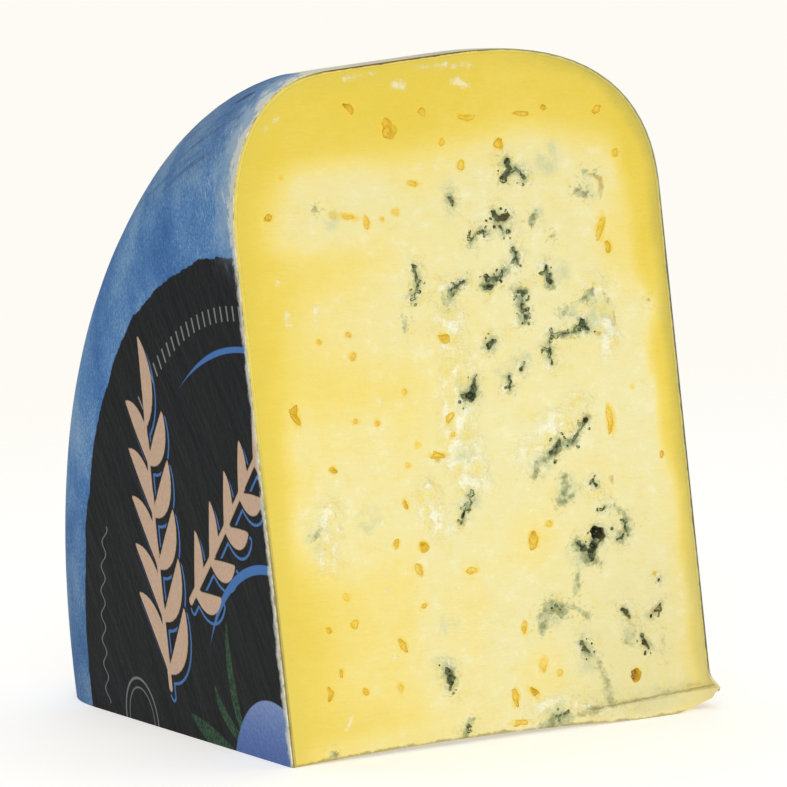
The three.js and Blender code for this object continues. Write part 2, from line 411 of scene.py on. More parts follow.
SMEARS = (  # pale paste dragged by the knife
    ((-12.4, 120.2, 0.9), (-11, 119.6, 0.8)), ((-0.6, 119.6, 0.7), (1.6, 118.9, 0.6)),
    ((-38.8, 115, 0.25), (-36, 116.4, 0.25)), ((-37, 82, 0.4), (-36.4, 79.4, 0.5)),
    ((-31.2, 5.6, 0.5), (-30, 7.4, 0.4)), ((-33.6, 36.6, 0.3), (-33.2, 39, 0.3)),
    ((-22.4, 122.4, 0.35), (-16, 122.9, 0.25)), ((-8.4, 123, 0.4), (-2, 122.9, 0.3)),
    ((-3, 122.6, 0.4), (3, 122.4, 0.3)), ((-3.8, 60.4, 0.6), (-4.4, 62, 0.4)),
    ((26, 21.6, 0.4),), ((24.8, 17.8, 0.4),),
    ((-4.4, 48.4, 0.8), (-2, 46.4, 0.5)), ((-11.2, 44, 0.8), (-10.6, 41, 0.7)),
    ((-21, 29.6, 0.4),), ((-20.6, 17.6, 0.5),), ((35, 19, 0.5),), ((-7, 28, 0.6),),
    ((-11.8, 47.6, 0.6),), ((20.2, 57.4, 0.4),), ((12, 47.4, 0.4),),
    ((6.6, 4.8, 0.9), (11, 5.4, 0.8)), ((-31, 82, 0.4), (-31, 78.6, 0.3)), ((-38, 87.6, 0.3),),
    ((-20, 64, 0.4),),
)

TORN = (  # where the knife tore the paste into crumbs
    ((-6, 82, 1.5), (-5, 72, 1.5), (-4.5, 66, 2.5), (-5, 58, 2.5), (-3, 48, 3)),
    ((-12, 46, 2), (-10, 40, 1.5)), ((8, 50, 1.5), (14, 56, 1.5), (19, 59, 1.5)),
    ((-31, 45, 1.5), (-33, 36, 1)),
    ((6, 3.5, 1), (14, 4.5, 1), (26, 2, 1)), ((26, 70, 1.5), (24, 80, 1.5)),
)

CREAM = (  # where the paste is paler: x, z, half width, half height, strength
    (-6, 50, 38, 62, 0.56), (15, 58, 24, 56, 0.85), (16, 97, 20, 14, 0.66), (-27, 99.5, 17, 8.5, 0.8),
    (-3, 88, 17, 20, 0.62), (-20, 78, 15, 9, 0.42), (-28, 56, 12, 8, 0.4), (-26, 42, 16, 9, 0.7),
    (-8, 45, 14, 13, 0.66), (-10, 24, 6, 20, 0.7), (0, 9, 15, 12, 0.5), (20, 15, 23, 24, 0.85),
    (-20, 14, 12, 8, 0.3), (-12, 1, 32, 4, 0.5), (30, 40, 8, 46, 0.7), (31, 70, 6, 18, 0.5),
    (-36, 60, 4, 6, 0.3),
)
GOLD = (  # where it is deeper yellow
    (-43, 60, 5, 50, 0.5), (-42, 22, 8, 18, 0.6), (8, 11, 5, 6, 0.3), (8, 35, 5, 6, 0.25),
    (-41, 107, 6, 12, 0.6), (31, 88, 6, 9, 0.35), (-12, 117, 40, 8, 0.8), (30, 116, 16, 10, 0.8),
    (-6, 22, 4, 10, 0.14), (40.5, 14, 2.4, 6, 0.8), (40, 31, 2.6, 8, 0.8), (38, 54, 3.2, 10, 0.85),
    (39.5, 43, 2, 8, 0.7),
    (37.8, 66, 4, 8, 0.85), (36, 88, 4, 11, 0.85), (34.8, 104, 4.6, 12, 0.9),
)


# ---------------------------------------------------------------- distances on the cut

def step_up(value, low, high):
    t = np.clip((value - low) / (high - low), 0, 1)
    return t * t * (3 - 2 * t)


def chain_distance(points, chains):
    """How far each (x, z) point is from the nearest chain's outline, in mm; negative inside it."""
    nearest = np.full(len(points), 99.0)
    for chain in chains:
        pairs = zip(chain, chain[1:]) if len(chain) > 1 else [(chain[0], chain[0])]
        for (x0, z0, r0), (x1, z1, r1) in pairs:
            start, run = np.array((x0, z0)), np.array((x1 - x0, z1 - z0))
            length = max(run @ run, 1e-9)
            t = np.clip((points - start) @ run / length, 0, 1)
            gap = np.linalg.norm(points - start - t[:, None] * run, axis=1) - (r0 + (r1 - r0) * t)
            nearest = np.minimum(nearest, gap)
    return nearest


def eye_distance(points):
    """How far each (x, z) point is from the nearest eye's outline, in mm."""
    nearest = np.full(len(points), 99.0)
    for x, z, width, height, tilt, _ in EYES:
        c, s = math.cos(math.radians(tilt)), math.sin(math.radians(tilt))
        dx, dz = points[:, 0] - x, points[:, 1] - z
        across, along = (dx * c - dz * s) / (width / 2), (dx * s + dz * c) / (height / 2)
        gap = (np.hypot(across, along) - 1) * min(width, height) / 2
        nearest = np.minimum(nearest, gap)
    return nearest


def cloud(points, patches):
    """A soft sum of the patches, from 0 far from all of them to 1 in their middles."""
    clear = np.ones(len(points))
    for x, z, half_width, half_height, strength in patches:
        reach = np.hypot((points[:, 0] - x) / half_width, (points[:, 1] - z) / half_height)
        clear *= 1 - strength * (1 - step_up(reach, 0.45, 1.4))
    return 1 - clear


def in_wheel(points):
    """The points in the wheel's own axes, without its lean."""
    return points @ np.array(Matrix.Rotation(LEAN, 3, "Y")).T


def rind_depth(points):
    """How far each point lies from the wheel's own surface, in mm."""
    x, y, z = in_wheel(points).T
    out = np.hypot(y, z)
    turn = np.linspace(0, math.pi / 2, 300)
    outline = []
    for side, (across, down, fullness) in SHOULDERS:
        curve_x = side * (THICKNESS / 2 - across + across * np.cos(turn) ** (2 / fullness))
        curve_r = RADIUS - down + down * np.sin(turn) ** (2 / fullness)
        wall = np.linspace(0, RADIUS - down, 900, endpoint=False)
        outline += [(side * THICKNESS / 2, r) for r in wall]
        outline += list(zip(curve_x, curve_r))
    rim = np.linspace(LABEL_SHOULDER[0] - THICKNESS / 2, THICKNESS / 2 - PLAIN_SHOULDER[0], 240)
    outline = np.array(outline + [(a, RADIUS) for a in rim])
    tree = KDTree(len(outline))
    for i, (a, b) in enumerate(outline):
        tree.insert((a, b, 0), i)
    tree.balance()
    return np.array([tree.find((a, b, 0))[2] for a, b in zip(x, out)])


# ---------------------------------------------------------------- the cheese

def rough_stone():
    """A lumpy ball one unit in radius: each hole is the dent that a few of these leave."""
    stone = add_primitive(bpy.ops.mesh.primitive_ico_sphere_add, subdivisions=3, radius=1)
    texture = bpy.data.textures.new("lumps", "CLOUDS")
    texture.noise_scale = 0.7
    apply_modifier(stone, "DISPLACE", texture=texture, strength=1.1, mid_level=0.5)
    return stone


def make_cutter(stone, dents, voxel, roughness):
    """Joins turned and stretched copies of the stone into one closed cutter, and roughens it.
    Each dent is x, z, half width, depth, half height, tilt in degrees."""
    picker = random.Random(7)
    copies = []
    for x, z, half_width, depth, half_height, tilt in dents:
        mesh = stone.data.copy()
        spin = Matrix.Rotation(picker.uniform(0, 6.28), 4, "Y") @ Matrix.Rotation(
            picker.uniform(0, 6.28), 4, "Z")
        size = Matrix.Diagonal((half_width * MM, depth * MM, half_height * MM, 1))
        place = Matrix.Translation(Vector((MIDDLE_X + x, FRONT_Y, z)) * MM)
        mesh.transform(place @ Matrix.Rotation(math.radians(tilt), 4, "Y") @ size @ spin)
        copy = bpy.data.objects.new("dent", mesh)
        bpy.context.scene.collection.objects.link(copy)
        copies.append(copy)
    bpy.ops.object.select_all(action="DESELECT")
    for copy in copies:
        copy.select_set(True)
    bpy.context.view_layer.objects.active = copies[0]
    bpy.ops.object.join()
    cutter = bpy.context.object
    crumble = bpy.data.textures.new("crumble", "CLOUDS")
    crumble.noise_scale = 0.0008
    crumble.noise_depth = 2
    apply_modifier(cutter, "DISPLACE", texture=crumble, texture_coords="GLOBAL", mid_level=0.5,
                   strength=roughness * MM)
    apply_modifier(cutter, "REMESH", mode="VOXEL", voxel_size=voxel * MM)
    return cutter


def pocket_dents():
    """Dents of many sizes scattered along every pocket chain, with a few crumbs lost beside it."""
    picker = random.Random(19)
    dents = []
    for chain in POCKETS:
        for (x0, z0, r0), (x1, z1, r1) in zip(chain, chain[1:] + chain[-1:]):
            steps = max(2, round(math.hypot(x1 - x0, z1 - z0) / (0.55 * min(r0, r1))))
            for i in range(steps):
                t = i / steps
                knot = 1.15 if i == 0 else 0.72
                r = (r0 + (r1 - r0) * t) * picker.uniform(0.3, 0.85) * knot
                x = x0 + (x1 - x0) * t + r * picker.uniform(-0.45, 0.45)
                z = z0 + (z1 - z0) * t + r * picker.uniform(-0.45, 0.45)
                if picker.random() < 0.72 or r > 0.7:
                    dents.append((x, z, r + 0.05, 0.2 + r * picker.uniform(0.8, 1.7), r + 0.05, 0))
                if picker.random() < 0.35:
                    turn, away = picker.uniform(0, 6.28), (r0 + r1) * picker.uniform(0.6, 1.2) + 0.3
                    small = picker.uniform(0.18, 0.34)
                    dents.append((x + away * math.cos(turn), z + away * math.sin(turn),
                                  small, small * 1.5, small, 0))
    return dents


def eye_dents():
    """Each eye is three overlapping dents, so that no outline is a plain oval."""
    picker = random.Random(5)
    dents = []
    for x, z, width, height, tilt, depth in EYES:
        lean = math.radians(tilt)
        for i in range(3):
            across, along = picker.uniform(-0.2, 0.2) * width, (i - 1) * 0.22 * height
            dents.append((x + across * math.cos(lean) + along * math.sin(lean),
                          z - across * math.sin(lean) + along * math.cos(lean),
                          width * picker.uniform(0.26, 0.48) + 0.08, depth * picker.uniform(0.5, 1.0),
                          height * picker.uniform(0.26, 0.44) + 0.08, tilt + picker.uniform(-25, 25)))
    return dents


def drop_crumbs(obj):
    """Deletes the crumbs that the cutters leave floating in a hole, not joined to the piece."""
    select_nothing(obj, "VERT")
    max(obj.data.vertices, key=lambda v: v.co.z).select = True
    bpy.ops.object.mode_set(mode="EDIT")
    bpy.ops.mesh.select_linked()
    bpy.ops.mesh.select_all(action="INVERT")
    bpy.ops.mesh.delete(type="VERT")
    end_edit()


def paint_weights(obj, name, weights):
    group = obj.vertex_groups.new(name=name)
    for i in np.nonzero(weights > 0.001)[0]:
        group.add((int(i),), float(weights[i]), "REPLACE")


def push(obj, name, weights, direction, strength, texture=None):
    """Moves the vertices along one axis, by their weights times the strength in mm."""
    paint_weights(obj, name, weights)
    settings = {"direction": direction, "strength": strength * MM, "vertex_group": name,
                "mid_level": 0.5 if texture else 0.0, "texture_coords": "GLOBAL"}
    if texture:
        settings["texture"] = texture
    apply_modifier(obj, "DISPLACE", **settings)
    obj.vertex_groups.clear()


def settle(obj):
    """The wheel is not quite round: slack behind its crest and fuller low down at the back."""
    def pull(name, middle, half, axis, strength):
        x, y, z = points_of(obj).T
        turn = np.degrees(np.arctan2(y, np.maximum(z, 1e-6)))
        hump = np.clip(1 - ((turn - middle) / half) ** 2, 0, 1) ** 1.5
        push(obj, name, hump * (np.hypot(y, z) / RADIUS) ** 2, axis, strength)
    pull("slack", 34, 30, "Z", -1.6)
    pull("full", 68, 36, "Y", 3.6)


def bow(x):
    """Rise of the base edge at each x, as a share of its highest."""
    middle, half, _ = BOW
    return np.clip(1 - ((x - middle) / half) ** 2, 0, 1)


def spread_foot(obj):
    """The base edge bows up a little, and at the right the soft paste was dragged outwards."""
    x, y, z = points_of(obj).T
    push(obj, "bow", bow(x) * (1 - step_up(y, 0, 28)) * (1 - step_up(z, 0, 9)), "Z", BOW[2])
    x, y, z = points_of(obj).T
    near_front = 1 - step_up(y, 4, 16)
    flare = step_up(x, 33, 43) * np.exp(-((z - 3.2) / 2.0) ** 2) * near_front
    push(obj, "flare", flare, "X", 2.0)
    x, y, z = points_of(obj).T
    tuck = step_up(x, 33, 44) * (1 - step_up(z, 0, 4)) * near_front
    push(obj, "tuck", tuck, "Z", 2.3)


def ledge_height(x):
    """Height of the dragged lip along the lower right edge of the front cut."""
    return 3.0 + 0.055 * np.clip(x - 18, 0, 30)


def shape_front(cheese):
    """Relief of the front cut: a crumbly middle, a slightly wavy skin and the dragged lower edge."""
    lumps = bpy.data.textures.new("paste_lumps", "CLOUDS")
    lumps.noise_scale = 0.0026
    lumps.noise_depth = 3
    waves = bpy.data.textures.new("cut_waves", "CLOUDS")
    waves.noise_scale = 0.018
    x, y, z = points_of(cheese).T
    on_front = 1 - step_up(y, 0.01, 0.3)
    clear = step_up(rind_depth(points_of(cheese)), 1.0, 4.0) * step_up(z, 0.4, 2.5)
    near_mould = 1 - step_up(chain_distance(np.c_[x, z], POCKETS + GREEN + TORN), 0.5, 4.5)
    push(cheese, "lumps", on_front * clear * (0.12 + 0.88 * near_mould), "Y", 0.55, lumps)
    x, y, z = points_of(cheese).T
    push(cheese, "waves", on_front * clear, "Y", 0.7, waves)
    x, y, z = points_of(cheese).T
    below = step_up(ledge_height(x) - z, -0.25, 0.35) * step_up(x, 12, 22) * (y < 0.6)
    push(cheese, "ledge", below, "Y", -0.9)


def make_cheese():
    cheese = whole_wheel("cheese_paste", COATING + FIT)
    side = THICKNESS / 2 - COATING - FIT - SLIVER
    for low, high_x, step, face in (((side, -5, -10), -70, 2.0, "side"), ((-60, 0, -10), 60, 0.55, "front"),
                                    ((-60, -10, 0), 60, 1.2, "base")):
        boolean(cheese, "INTERSECT", grid_block(low, (high_x, BEYOND, BEYOND), step, face))
    shape_front(cheese)
    spread_foot(cheese)
    stone = rough_stone()
    boolean(cheese, "DIFFERENCE", make_cutter(stone, eye_dents(), 0.22, 0.25))
    boolean(cheese, "DIFFERENCE", make_cutter(stone, pocket_dents(), 0.2, 0.8))
    bpy.data.objects.remove(stone)
    drop_crumbs(cheese)
    dress_cheese(cheese)
    settle(cheese)
    smooth_shade(cheese, 26)
    return cheese


def dress_cheese(cheese):
    """Stores the fields that the paste's material reads, and gives each kind of face its material."""
    points = points_of(cheese)
    x, y, z = points.T
    flat = np.c_[x, z]
    # The base cut mirrors the front: its fields are read at the same height back from the axis.
    on_base = (z < BASE_TOP) & (y > 0.4)
    flat[on_base] = np.c_[-x, y][on_base]
    for name, chains in (("pocket", POCKETS), ("green", GREEN), ("haze", HAZE), ("brown", BROWN),
                         ("smear", SMEARS), ("torn", TORN + POCKETS)):
        store(cheese, name, chain_distance(flat, chains))
    depth, eye, pocket = rind_depth(points), eye_distance(flat), chain_distance(flat, POCKETS)
    store(cheese, "right", step_up(x, 5, 30) * step_up(z, -1, 3))
    store(cheese, "ledge", ledge_height(x) - z)
    store(cheese, "eye", eye)
    store(cheese, "cream", cloud(flat, CREAM) * (1 - cloud(flat, GOLD)))
    store(cheese, "depth", depth)
    store(cheese, "inward", y)
    store(cheese, "above", z - BOW[2] * bow(x))
    set_materials(cheese, paste_material(), rind_material(), eye_material(), pocket_material())
    paste, rind, eye_lining, mould = range(4)
    for face in cheese.data.polygons:
        ring = list(face.vertices)
        inward, height = y[ring].mean(), z[ring].mean()
        in_a_hole = abs(face.normal.y) < 0.93 and 0.16 < inward < 6
        if depth[ring].max() < COATING + 0.4 and depth[ring].min() < COATING + 0.1 and inward > 0.3:
            face.material_index = rind
        elif in_a_hole and (face.normal.z > -0.9 or height > BASE_TOP):
            face.material_index = eye_lining if eye[ring].min() < pocket[ring].min() else mould
        else:
            face.material_index = paste


# ---------------------------------------------------------------- writing node trees

def srgb(red, green, blue):
    """A display colour, 0 to 255 a channel, as the linear colour that a shader takes."""
    def linear(c):
        c /= 255
        return c / 12.92 if c <= 0.04045 else ((c + 0.055) / 1.055) ** 2.4
    return (linear(red), linear(green), linear(blue), 1.0)


class Graph:
    """Adds nodes to a tree. Each short call returns the new node's output socket."""

    def __init__(self, tree):
        self.tree = tree

    def add(self, kind, **settings):
        node = self.tree.nodes.new("ShaderNode" + kind)
        for key, value in settings.items():
            setattr(node, key, value)
        return node

    def feed(self, socket, value):
        if isinstance(value, bpy.types.NodeSocket):
            self.tree.links.new(value, socket)
        else:
            socket.default_value = value

    def math(self, operation, a, b=0.0, clamp=False):
        node = self.add("Math", operation=operation, use_clamp=clamp)
        self.feed(node.inputs[0], a)
        self.feed(node.inputs[1], b)
        return node.outputs[0]

    def times(self, a, b):
        return self.math("MULTIPLY", a, b)

    def minus(self, a, b):
        return self.math("SUBTRACT", a, b)

    def plus(self, *values, clamp=False):
        total = values[0]
        for value in values[1:]:
            total = self.math("ADD", total, value, clamp)
        return total

    def smooth(self, value, low, high):
        """0 at low and before, 1 at high and past it; high may be the smaller."""
        node = self.add("MapRange", interpolation_type="SMOOTHSTEP")
        self.feed(node.inputs["Value"], value)
        flip = low > high
        node.inputs["From Min"].default_value = high if flip else low
        node.inputs["From Max"].default_value = low if flip else high
        node.inputs["To Min"].default_value = 1.0 if flip else 0.0
        node.inputs["To Max"].default_value = 0.0 if flip else 1.0
        return node.outputs[0]

    def noise(self, place, scale, detail=3.0, roughness=0.55):
        node = self.add("TexNoise")
        for name, value in (("Vector", place), ("Scale", scale), ("Detail", detail),
                            ("Roughness", roughness)):
            self.feed(node.inputs[name], value)
        return node.outputs[0]

    def wobble(self, place, scale, reach, detail=4.0, roughness=0.62):
        """Noise about zero, with this reach between its ends."""
        return self.times(self.minus(self.noise(place, scale, detail, roughness), 0.5), reach)

    def mix(self, factor, a, b):
        node = self.add("Mix", data_type="RGBA")
        self.feed(node.inputs[0], factor)
        self.feed(node.inputs[6], a)
        self.feed(node.inputs[7], b)
        return node.outputs[2]

    def ramp(self, value, *stops):
        node = self.add("ValToRGB")
        elements = node.color_ramp.elements
        while len(elements) < len(stops):
            elements.new(0.5)
        for element, (position, colour) in zip(elements, stops):
            element.position = position
            element.color = colour
        self.feed(node.inputs[0], value)
        return node.outputs[0]

    def field(self, name):
        return self.add("Attribute", attribute_name=name).outputs["Fac"]

    def millimetres(self, stretch=(1, 1, 1), turn=(0, 0, 0)):
        """Object coordinates in millimetres, turned first and then stretched."""
        coords = self.add("TexCoord")
        mapping = self.add("Mapping", vector_type="POINT")
        self.feed(mapping.inputs["Vector"], coords.outputs["Object"])
        mapping.inputs["Rotation"].default_value = turn
        scaled = self.add("VectorMath", operation="MULTIPLY")
        self.feed(scaled.inputs[0], mapping.outputs[0])
        scaled.inputs[1].default_value = [s / MM for s in stretch]
        return scaled.outputs[0]

    def split(self, vector):
        node = self.add("SeparateXYZ")
        self.feed(node.inputs[0], vector)
        return node.outputs

    def group(self, tree, **values):
        node = self.add("Group", node_tree=tree)
        for name, value in values.items():
            self.feed(node.inputs[name], value)
        return node.outputs


def new_group(name, inputs, outputs):
    tree = bpy.data.node_groups.new(name, "ShaderNodeTree")
    for socket, kind in inputs:
        tree.interface.new_socket(socket, in_out="INPUT", socket_type="NodeSocket" + kind)
    for socket, kind in outputs:
        tree.interface.new_socket(socket, in_out="OUTPUT", socket_type="NodeSocket" + kind)
    graph = Graph(tree)
    source = tree.nodes.new("NodeGroupInput")
    sink = tree.nodes.new("NodeGroupOutput")
    return tree, graph, source.outputs, sink.inputs


def ragged_edge_group():
    """Turns a distance into a mask that is 1 inside, with an edge that wanders with fine noise."""
    tree, g, given, out = new_group(
        "ragged_edge",
        (("Distance", "Float"), ("Place", "Vector"), ("Wander", "Float"), ("Grain", "Float"),
         ("Softness", "Float")),
        (("Mask", "Float"),))
    wander = g.wobble(given["Place"], given["Grain"], g.times(given["Wander"], 4.0), 4.0, 0.65)
    share = g.math("DIVIDE", g.plus(given["Distance"], wander), given["Softness"])
    g.feed(out["Mask"], g.smooth(share, 1.0, -1.0))
    return tree


def mottle_group():
    """Lightens and darkens a colour in soft patches and fine specks."""
    tree, g, given, out = new_group(
        "mottle",
        (("Colour", "Color"), ("Place", "Vector"), ("Patch", "Float"), ("Amount", "Float")),
        (("Colour", "Color"), ("Height", "Float")))
    broad = g.noise(given["Place"], given["Patch"], 4.0, 0.6)
    fine = g.noise(given["Place"], g.times(given["Patch"], 9.0), 3.0, 0.6)
    height = g.plus(g.times(broad, 0.65), g.times(fine, 0.35))
    swing = g.times(g.minus(height, 0.5), given["Amount"])
    node = g.add("HueSaturation")
    g.feed(node.inputs["Color"], given["Colour"])
    g.feed(node.inputs["Value"], g.plus(swing, 1.0))
    g.feed(out["Colour"], node.outputs[0])
    g.feed(out["Height"], height)
    return tree


RAGGED = ragged_edge_group()
MOTTLE = mottle_group()


def new_material(name):
    material = bpy.data.materials.new(name)
    material.use_nodes = True
    return material, Graph(material.node_tree), material.node_tree.nodes["Principled BSDF"]


def surface(g, shader, colour, roughness):
    g.feed(shader.inputs["Base Color"], colour)
    g.feed(shader.inputs["Roughness"], roughness)


def bump(g, shader, height, distance):
    node = g.add("Bump")
    node.inputs["Distance"].default_value = distance * MM
    g.feed(node.inputs["Height"], height)
    g.tree.links.new(node.outputs[0], shader.inputs["Normal"])


def soften(shader, weight, scale):
    """Lets light into the paste a little way, furthest in red."""
    shader.inputs["Subsurface Weight"].default_value = weight
    shader.inputs["Subsurface Radius"].default_value = (1.0, 0.85, 0.45)
    shader.inputs["Subsurface Scale"].default_value = scale * MM


def paste_material():
    """The cut paste, in layers: its own tones, then mould, then what the knife did to it, with painted
    shade and highlight among them.
    """
    material, g, shader = new_material("paste")
    place = g.millimetres()
    right = g.field("right")

    def moved(name, *wobbles):
        """A field whose outline wanders. Each wobble is a noise's scale and its reach."""
        return g.plus(g.field(name), *(g.wobble(place, *wobble) for wobble in wobbles))

    drag = g.noise(g.millimetres(stretch=(0.14, 1, 1.5)), 0.8, 5.0, 0.7)
    tone = g.plus(moved("cream", (0.06, 0.5), (0.3, 0.22), (1.4, 0.16)),
                  g.times(g.minus(drag, 0.5), 0.09))
    colour = g.ramp(tone, (0.0, srgb(232, 205, 70)), (0.22, srgb(237, 212, 92)),
                    (0.5, srgb(241, 220, 122)), (0.75, srgb(240, 225, 150)), (1.0, srgb(237, 228, 170)))
    depth = moved("depth", (0.12, 3.0))
    rim = g.smooth(moved("depth", (0.8, 0.8)), 1.1, 0.55)
    inner = g.minus(1.0, g.times(right, 0.6))
    crumbs = g.noise(place, 0.42, 3.5, 0.6)
    grain = g.noise(place, 0.3, 6.0, 0.72)
    open_paste = g.smooth(g.field("cream"), 0.4, 0.8)
    torn = g.smooth(moved("torn", (0.3, 6.0)), 2.6, -1.4)
    bloom = g.times(g.smooth(moved("haze", (0.5, 4.0)), 1.4, -1.4),
                    g.smooth(g.noise(place, 0.45, 5.0, 0.7), 0.36, 0.66))
    near_mould = g.plus(g.math("MINIMUM", g.field("pocket"), g.field("green")),
                        g.wobble(place, 0.3, 3.0))
    specks = g.times(g.smooth(g.noise(place, 1.1, 4.0, 0.62), 0.54, 0.64),
                     g.smooth(near_mould, 2.2, 0.2))
    green_tone = g.ramp(g.noise(place, 0.75, 4.0, 0.6), (0.36, srgb(76, 84, 42)),
                        (0.46, srgb(122, 134, 88)), (0.56, srgb(164, 175, 132)),
                        (0.66, srgb(200, 206, 162)))
    # Painted shade: a dark line along the crease above the dragged lip at the lower right.
    crease_shade = g.times(g.smooth(g.math("ABSOLUTE", moved("ledge", (0.6, 0.9))), 0.22, 0.03),
                     g.smooth(moved("right", (0.5, 1.4)), 0.3, 0.8))
    # Painted shade: the lower part of the cut, most of all at the right, is darkened as if less light
    # reached it.
    painted_low_shade = g.times(g.plus(g.times(right, 0.75), 0.3, clamp=True),
                   g.smooth(g.field("above"), 60.0, 2.0))
    smear = g.smooth(moved("smear", (0.55, 4.0)), 0.4, -0.8)
    layers = (
        (g.times(g.smooth(depth, 5.5, 1.0), inner), 0.7, srgb(226, 202, 76)),
        (g.times(g.smooth(depth, 3.4, 0.6), right), 0.8, srgb(200, 182, 78)),
        (g.times(rim, right), 0.3, srgb(170, 152, 74)),
        (g.smooth(moved("eye", (1.2, 1.0)), 0.55, -0.1), 0.75, srgb(243, 206, 66)),
        (g.times(g.smooth(grain, 0.53, 0.68), open_paste), 0.32, srgb(250, 247, 216)),
        (g.times(g.smooth(grain, 0.47, 0.34), open_paste), 0.32, srgb(236, 214, 116)),
        # Painted shade in the crumbs' low parts and painted highlight on their tops, over the torn paste.
        (g.times(torn, g.smooth(crumbs, 0.46, 0.36)), 0.6, srgb(238, 216, 112)),
        (g.times(torn, g.smooth(crumbs, 0.5, 0.64)), 0.85, srgb(250, 247, 218)),
        (bloom, 0.7, srgb(194, 202, 160)),
        (g.smooth(moved("brown", (0.9, 1.8)), 0.2, -0.4), 0.65, srgb(182, 150, 62)),
        (g.smooth(moved("pocket", (0.7, 3.4), (2.6, 1.0)), 0.8, -0.4), 0.65, srgb(156, 166, 120)),
        (specks, 0.42, srgb(128, 140, 92)),
        (g.smooth(moved("green", (0.8, 2.6), (2.8, 0.9)), 0.4, -0.5), 0.8, green_tone),
        (g.smooth(moved("pocket", (1.0, 2.2), (3.2, 0.8)), -0.1, -0.6), 0.8, srgb(64, 72, 44)),
        (crease_shade, 0.75, srgb(122, 108, 48)),
        (g.times(g.smooth(g.field("ledge"), 0.1, 0.6), right), 0.5, srgb(232, 222, 176)),
        # Painted shade: a dark line along the base edge, where the wedge meets the floor.
        (g.smooth(moved("above", (0.4, 1.8)), 0.6, 0.1), 0.7, srgb(132, 114, 54)),
        (painted_low_shade, 0.45, srgb(212, 200, 138)),
        (smear, 0.5, srgb(250, 246, 218)),
    )
    for mask, share, ink in layers:
        colour = g.mix(g.times(mask, share), colour, ink)
    surface(g, shader, colour, g.plus(g.times(g.noise(place, 0.5, 3.0), 0.25), 0.36))
    rough = g.plus(g.times(torn, 1.8), 0.2)
    bump(g, shader, g.plus(g.times(drag, 0.35), g.times(crumbs, rough), g.times(smear, 0.3)), 0.5)
    soften(shader, 0.08, 1.5)
    shader.inputs["Specular IOR Level"].default_value = 0.35
    return material


def rind_material():
    material, g, shader = new_material("rind")
    colour = g.group(MOTTLE, Colour=srgb(150, 132, 78), Place=g.millimetres(), Patch=0.3, Amount=0.6)
    surface(g, shader, colour["Colour"], 0.7)
    return material


def eye_material():
    """Inside an eye the paste is moist and deeper in colour; the brown towards the bottom is painted shade
    in the hollow.
    """
    material, g, shader = new_material("eye_lining")
    place = g.millimetres()
    depth = g.plus(g.field("inward"), g.wobble(place, 0.12, 1.2, 2.0, 0.55))
    colour = g.ramp(g.smooth(depth, 0.0, 1.7), (0.0, srgb(234, 204, 66)), (0.35, srgb(232, 200, 56)),
                    (0.6, srgb(222, 184, 46)), (1.0, srgb(168, 122, 34)))
    surface(g, shader, colour, 0.3)
    bump(g, shader, g.noise(place, 2.5, 3.0), 0.1)
    soften(shader, 0.05, 1.0)
    return material


def pocket_material():
    """Inside a pocket: olive-green mould, darker with depth, partly denser mould and partly painted shade
    in the hollow, and brown beside a few pockets.
    """
    material, g, shader = new_material("mould")
    place = g.millimetres()
    colour = g.ramp(g.noise(place, 1.3, 5.0, 0.65), (0.34, srgb(58, 66, 34)), (0.48, srgb(102, 114, 70)),
                    (0.6, srgb(148, 158, 112)), (0.7, srgb(206, 208, 162)))
    # Darker with depth: partly the mould's own colour, partly painted shade in the hollow.
    deep = g.smooth(g.plus(g.field("inward"), g.wobble(place, 1.6, 1.6, 4.0, 0.6)), 0.4, 1.3)
    colour = g.mix(g.times(deep, 0.9), colour, srgb(34, 38, 19))
    brown = g.times(g.smooth(g.field("brown"), 0.7, -0.2), 0.6)
    surface(g, shader, g.mix(brown, colour, srgb(104, 84, 36)), 0.85)
    bump(g, shader, g.noise(place, 3.0, 4.0), 0.25)
    return material


# ---------------------------------------------------------------- the coating

def make_coating():
    coating = whole_wheel("coating_skin", 0.0)
    side = THICKNESS / 2 - SLIVER
    boolean(coating, "INTERSECT", grid_block((side, -5, -10), (-70, BEYOND, BEYOND), 1.5, "side"))
    boolean(coating, "DIFFERENCE", whole_wheel("inside", COATING))
    boolean(coating, "INTERSECT", grid_block((-70, 0, 0), (70, BEYOND, BEYOND), 1.2, "front"))
    spread_foot(coating)
    points = points_of(coating)
    x, y, z = points.T
    store(coating, "depth", rind_depth(points))
    store(coating, "left", 1 - step_up(x, -36, -24))
    store(coating, "right", step_up(x, 5, 30))
    store(coating, "foot", (1 - step_up(z, 4, 9)) * step_up(x, 20, 30))
    store(coating, "low", (1 - step_up(z, 25, 70)) * (x < 0))
    store(coating, "crest", step_up(x, -34, -30) * (1 - step_up(x, 0, 10)))
    set_materials(coating, coating_material(), coating_cut_material())
    mark_cuts(coating, points, np.zeros(len(points), bool))
    settle(coating)
    smooth_shade(coating, 30)
    return coating


def mark_cuts(obj, points, underneath):
    """Gives the second material to the faces on a cut, and to those with a vertex underneath."""
    for face in obj.data.polygons:
        ring = list(face.vertices)
        on_cut = points[ring, 1].max() < ON_CUT or points[ring, 2].max() < ON_CUT
        face.material_index = int(on_cut or underneath[ring].any())


